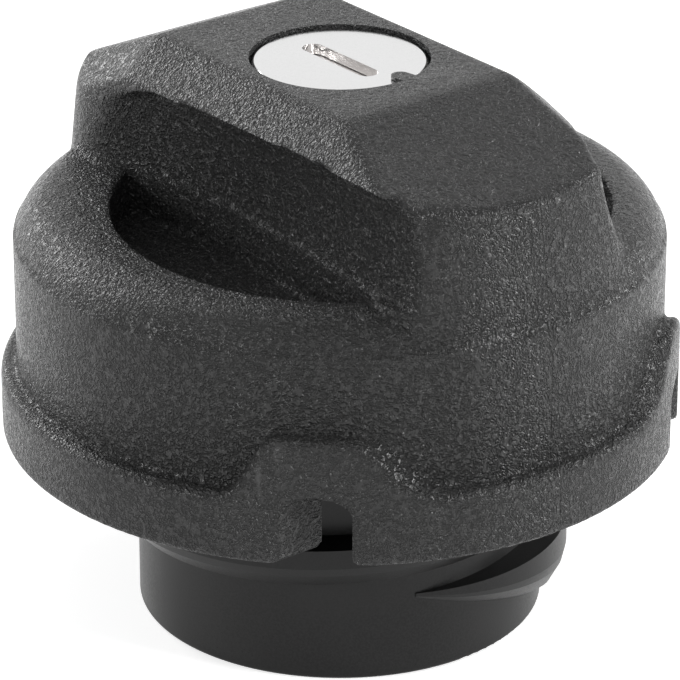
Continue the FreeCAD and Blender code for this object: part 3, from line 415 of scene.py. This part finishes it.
def trueWall(skin, group, radius):  # takes the flats of the drawing's triangles out of a round wall
    roller = disc(radius, *cover["roller"], sides=cover["wallSides"])
    modifier = skin.modifiers.new(group, "SHRINKWRAP")
    modifier.vertex_group = group
    modifier.target = roller
    pick(skin)
    bpy.ops.object.modifier_apply(modifier=group)
    bpy.data.objects.remove(roller)


def soften(skin, group, rounds):
    modifier = skin.modifiers.new(group, "SMOOTH")
    modifier.vertex_group = group
    modifier.factor = 0.5
    modifier.iterations = rounds
    pick(skin)
    bpy.ops.object.modifier_apply(modifier=group)


def buildCover():
    skin = copyOf(nodes["outer_cover"], "cover_moulding")
    bpy.ops.mesh.customdata_custom_splitnormals_clear()
    bore = cover["bore"]
    combine(skin, disc(bore["plug"], bore["plugLow"], cover["top"]), "UNION")
    left = cover["left"]
    right = cover["rightFront"] + [row for row in left if row[0] > cover["rearFrom"]]
    added = combine(coverFill(-1, left), coverFill(1, right), "UNION")
    combine(skin, combine(added, lipWedge(), "UNION"), "UNION")
    for side, rows in ((-1, left), (1, right)):
        combine(skin, combine(hollow(rows, side), coverPocket(side, rows), "UNION"), "DIFFERENCE")
    print("cover shaped", len(skin.data.polygons))
    skin.data.remesh_voxel_size = cover["voxel"] / 1000
    skin.data.use_remesh_fix_poles = False
    pick(skin)
    bpy.ops.object.voxel_remesh()
    softWeights(skin)
    for group, (radius, low, high) in cover["walls"].items():
        trueWall(skin, group, radius)
    for group, rounds in cover["soften"].items():
        soften(skin, group, rounds)
    modifier = skin.modifiers.new("thin", "DECIMATE")
    modifier.ratio = cover["faces"] / (2 * len(skin.data.polygons))
    pick(skin)
    bpy.ops.object.modifier_apply(modifier="thin")
    combine(skin, disc(bore["radius"], bore["low"], bore["high"], sides=bore["sides"]), "DIFFERENCE")
    combine(skin, indexNub(), "UNION")
    skin.vertex_groups.clear()
    pick(skin)
    bpy.ops.object.shade_smooth_by_angle(angle=radians(cover["smooth"]))
    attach(skin, cover["body"])
    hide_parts("outer_cover")
    print("cover made", len(skin.data.polygons))
    return skin


coverSkin = buildCover()


# Valve springs, each copied as a piece of its own with its triangles joined

springs = {
    "relief_spring": {"still": "neck", "moving": "relief", "stillEnd": 30.85, "slot": "spring_steel"},
    "vacuum_spring": {"still": "relief", "moving": "vacuum", "stillEnd": 21.45, "slot": "spring_steel"},
}


def liveSpring(name):
    coil = copyOf(nodes[name], name + "_coil")
    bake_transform(coil)
    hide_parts(name)
    return coil


coils = [liveSpring(name) for name in springs]
print("springs made", len(coils))


# Materials

def coverPlastic(name, values, *dressed):  # a worm-like moulded grain with painted shade in its pits, a front facet painted darker as painted shade, and a mould line down the front
    shader = Shader(name)
    field = shader.noise(values["grain"], 1.0, 0.4, values["twist"])
    crease = shader.sum("ABSOLUTE", shader.sum("SUBTRACT", field, 0.5))
    pits = shader.step(crease, *values["pit"])
    gaps = shader.step(shader.noise(values["grain"] * 0.6, 1.0), *values["gaps"])  # breaks the worms up
    ground = shader.sum("MAXIMUM", pits, gaps)
    fine = shader.noise(values["grain"] * 2.2, 1.0, 0.5, 0.4)
    x, y, z = (shader.part(axis) for axis in "XYZ")
    rise = shader.sum("SUBTRACT", z, shader.sum("MULTIPLY", y, values["facetSlope"]))
    facet = shader.step(rise, *values["facet"])
    dome = shader.sum("MAXIMUM", shader.step(crease, *values["dome"]), gaps)
    height = shader.sum("ADD", dome, shader.sum("MULTIPLY", fine, values["fine"]))
    drift = shader.sum("MULTIPLY", shader.sum("SUBTRACT", shader.noise(90.0, 2.0), 0.5), values["drift"])
    line = shader.step(shader.sum("ABSOLUTE", shader.sum("ADD", x, drift)), *values["line"])
    mark = shader.sum("MAXIMUM", line, shader.step(y, *values["lineEnd"]))  # 0 on the mould line
    cloud = shader.noise(values["cloud"], 3.0, 0.55)
    # painted shade: the grain's pits take the dark tone and the ground between them the light one, standing in
    # for the shade inside the pits
    base = shader.blend(ground, values["dark"], values["light"])
    base = shader.blend(shader.step(cloud, 0.35, 0.7, 0.0, 0.35), base, values["dull"])
    bend = shader.add("ShaderNodeNewGeometry").outputs["Pointiness"]
    scuff = shader.step(shader.noise(values["scuff"], 2.0), 0.35, 0.6)
    edge = shader.sum("MULTIPLY", shader.step(bend, *values["edge"]), scuff)
    base = shader.blend(edge, base, values["worn"])
    # painted shade: the front facet's colour is pulled towards the dark tone, standing in for the shade that
    # falls on it
    base = shader.blend(shader.sum("MULTIPLY", facet, values["facetShade"]), base, values["dark"])
    base = shader.blend(mark, (0.0, 0.0, 0.0), base)
    shader.put(shader.surface.inputs["Base Color"], base)
    shader.surface.inputs["Specular IOR Level"].default_value = values["gloss"]
    rough = shader.step(ground, 0.0, 1.0, *values["rough"])
    rough = shader.sum("ADD", rough, shader.step(cloud, 0.3, 0.7, -0.03, 0.04))
    shader.put(shader.surface.inputs["Roughness"], rough)
    depth = shader.sum("MULTIPLY", height, shader.step(facet, 0.0, 1.0, 1.0, values["facetShare"]))
    grain = shader.bump(depth, values["strength"], values["depth"])
    shader.put(shader.surface.inputs["Normal"], shader.bump(mark, 1.0, values["lineDepth"], grain))
    shader.dress(*dressed)


def mouldedPlastic(name, values, *dressed):  # smooth mouldings: a fine spark texture and slight flow clouds
    shader = Shader(name)
    spark = shader.noise(values["grain"], 2.0, 0.6)
    cloud = shader.noise(values["cloud"], 3.0, 0.55)
    tone = shader.blend(shader.step(spark, 0.35, 0.65), values["dark"], values["light"])
    tone = shader.blend(shader.step(cloud, 0.4, 0.7, 0.0, 0.4), tone, values["dull"])
    shader.put(shader.surface.inputs["Base Color"], tone)
    shader.surface.inputs["Specular IOR Level"].default_value = values["gloss"]
    rough = shader.sum("ADD", shader.step(spark, 0.3, 0.7, *values["rough"]),
                       shader.step(cloud, 0.3, 0.7, -0.03, 0.04))
    shader.put(shader.surface.inputs["Roughness"], rough)
    shader.put(shader.surface.inputs["Normal"], shader.bump(spark, values["strength"], values["depth"]))
    shader.dress(*dressed)


def workedMetal(name, values, *dressed):  # cast, turned or plated: grain, dull clouds, fine scratches
    shader = Shader(name)
    grain = shader.noise(values["grain"], 3.0, 0.6)
    cloud = shader.noise(values["cloud"], 3.0, 0.55)
    stretched = shader.add("ShaderNodeMapping")
    shader.put(stretched.inputs["Vector"], shader.place)
    stretched.inputs["Scale"].default_value = (1.0, 14.0, 1.0)
    scratch = shader.noise(values["scratch"], 1.0, 0.5, 0.2, stretched.outputs[0])
    tone = shader.blend(shader.step(grain, 0.3, 0.7), values["dark"], values["light"])
    tone = shader.blend(shader.step(cloud, 0.45, 0.75, 0.0, 0.4), tone, values["dull"])
    shader.put(shader.surface.inputs["Base Color"], tone)
    shader.surface.inputs["Metallic"].default_value = 1.0
    rough = shader.sum("ADD", shader.step(grain, 0.3, 0.7, *values["rough"]),
                       shader.step(scratch, 0.55, 0.75, 0.0, 0.06))
    shader.put(shader.surface.inputs["Roughness"], rough)
    under = shader.bump(grain, values["strength"], values["depth"])
    shader.put(shader.surface.inputs["Normal"], shader.bump(scratch, 0.15, 0.00002, under))
    shader.dress(*dressed)


coverPlastic("cover_plastic", {
    "grain": 2000.0, "twist": 0.9, "pit": (0.02, 0.075), "gaps": (0.5, 0.7), "dome": (0.0, 0.16),
    "fine": 0.35, "strength": 1.0, "depth": 0.00026, "cloud": 55.0, "scuff": 700.0, "edge": (0.52, 0.60),
    "facet": (0.0729, 0.0734), "facetSlope": 0.316, "facetShare": 0.55, "facetShade": 0.7, "gloss": 0.3,
    "line": (0.00003, 0.00010), "lineEnd": (-0.0178, -0.0170), "lineDepth": 0.00012, "drift": 0.0005,
    "dark": (0.0005, 0.0005, 0.0005), "light": (0.03, 0.03, 0.03), "dull": (0.02, 0.02, 0.02),
    "worn": (0.06, 0.06, 0.06), "rough": (0.42, 0.2)}, coverSkin, "outer_cover")
mouldedPlastic("neck_plastic", {
    "grain": 3800.0, "cloud": 60.0, "strength": 0.25, "depth": 0.00003, "rough": (0.3, 0.4), "gloss": 0.25,
    "dark": (0.004, 0.004, 0.004), "light": (0.009, 0.009, 0.009), "dull": (0.012, 0.012, 0.012)},
    "neck_body", "base_plate", "bolt_guide", "bottom_cap")
mouldedPlastic("pale_plastic", {
    "grain": 2400.0, "cloud": 120.0, "strength": 0.2, "depth": 0.00003, "rough": (0.36, 0.5), "gloss": 0.45,
    "dark": (0.6, 0.58, 0.53), "light": (0.7, 0.69, 0.64), "dull": (0.55, 0.52, 0.46)},
    "thrust_washer", "valve_carrier", "relief_plate", "spring_cap")
mouldedPlastic("seal_rubber", {
    "grain": 2000.0, "cloud": 80.0, "strength": 0.3, "depth": 0.00004, "rough": (0.55, 0.75), "gloss": 0.35,
    "dark": (0.006, 0.006, 0.006), "light": (0.012, 0.012, 0.012), "dull": (0.02, 0.02, 0.02)},
    "seal_ring", "relief_seal", "vacuum_disc")
workedMetal("face_steel", {
    "grain": 5200.0, "cloud": 90.0, "scratch": 400.0,
    "strength": 0.12, "depth": 0.00001, "rough": (0.15, 0.19),
    "dark": (0.76, 0.76, 0.76), "light": (0.80, 0.80, 0.80), "dull": (0.75, 0.75, 0.75)}, "lock_face")
workedMetal("shutter_steel", {
    "grain": 2600.0, "cloud": 400.0, "scratch": 600.0,
    "strength": 0.2, "depth": 0.00002, "rough": (0.3, 0.42),
    "dark": (0.60, 0.56, 0.54), "light": (0.72, 0.68, 0.66), "dull": (0.5, 0.46, 0.44)}, "key_shutter")
workedMetal("lock_metal", {
    "grain": 1400.0, "cloud": 200.0, "scratch": 300.0,
    "strength": 0.3, "depth": 0.00004, "rough": (0.38, 0.52),
    "dark": (0.44, 0.44, 0.46), "light": (0.55, 0.55, 0.56), "dull": (0.36, 0.36, 0.37)},
    "lock_housing", "lock_plug", "crank_disc")
workedMetal("plated_steel", {
    "grain": 1800.0, "cloud": 300.0, "scratch": 500.0,
    "strength": 0.2, "depth": 0.00002, "rough": (0.24, 0.38),
    "dark": (0.48, 0.48, 0.5), "light": (0.6, 0.6, 0.61), "dull": (0.4, 0.4, 0.41)},
    "locking_bolt", "housing_screws", "guide_screws", "crank_screw", "plug_circlip", "shutter_pin",
    "shutter_spring", "retaining_ring", "relief_spring", "vacuum_spring",
    "wafer_spring_1", "wafer_spring_2", "wafer_spring_3", "wafer_spring_4", *coils)
workedMetal("wafer_brass", {
    "grain": 1600.0, "cloud": 300.0, "scratch": 500.0,
    "strength": 0.2, "depth": 0.00002, "rough": (0.26, 0.4),
    "dark": (0.55, 0.4, 0.16), "light": (0.68, 0.52, 0.24), "dull": (0.45, 0.32, 0.13)},
    "wafer_1", "wafer_2", "wafer_3", "wafer_4")
print("materials made")
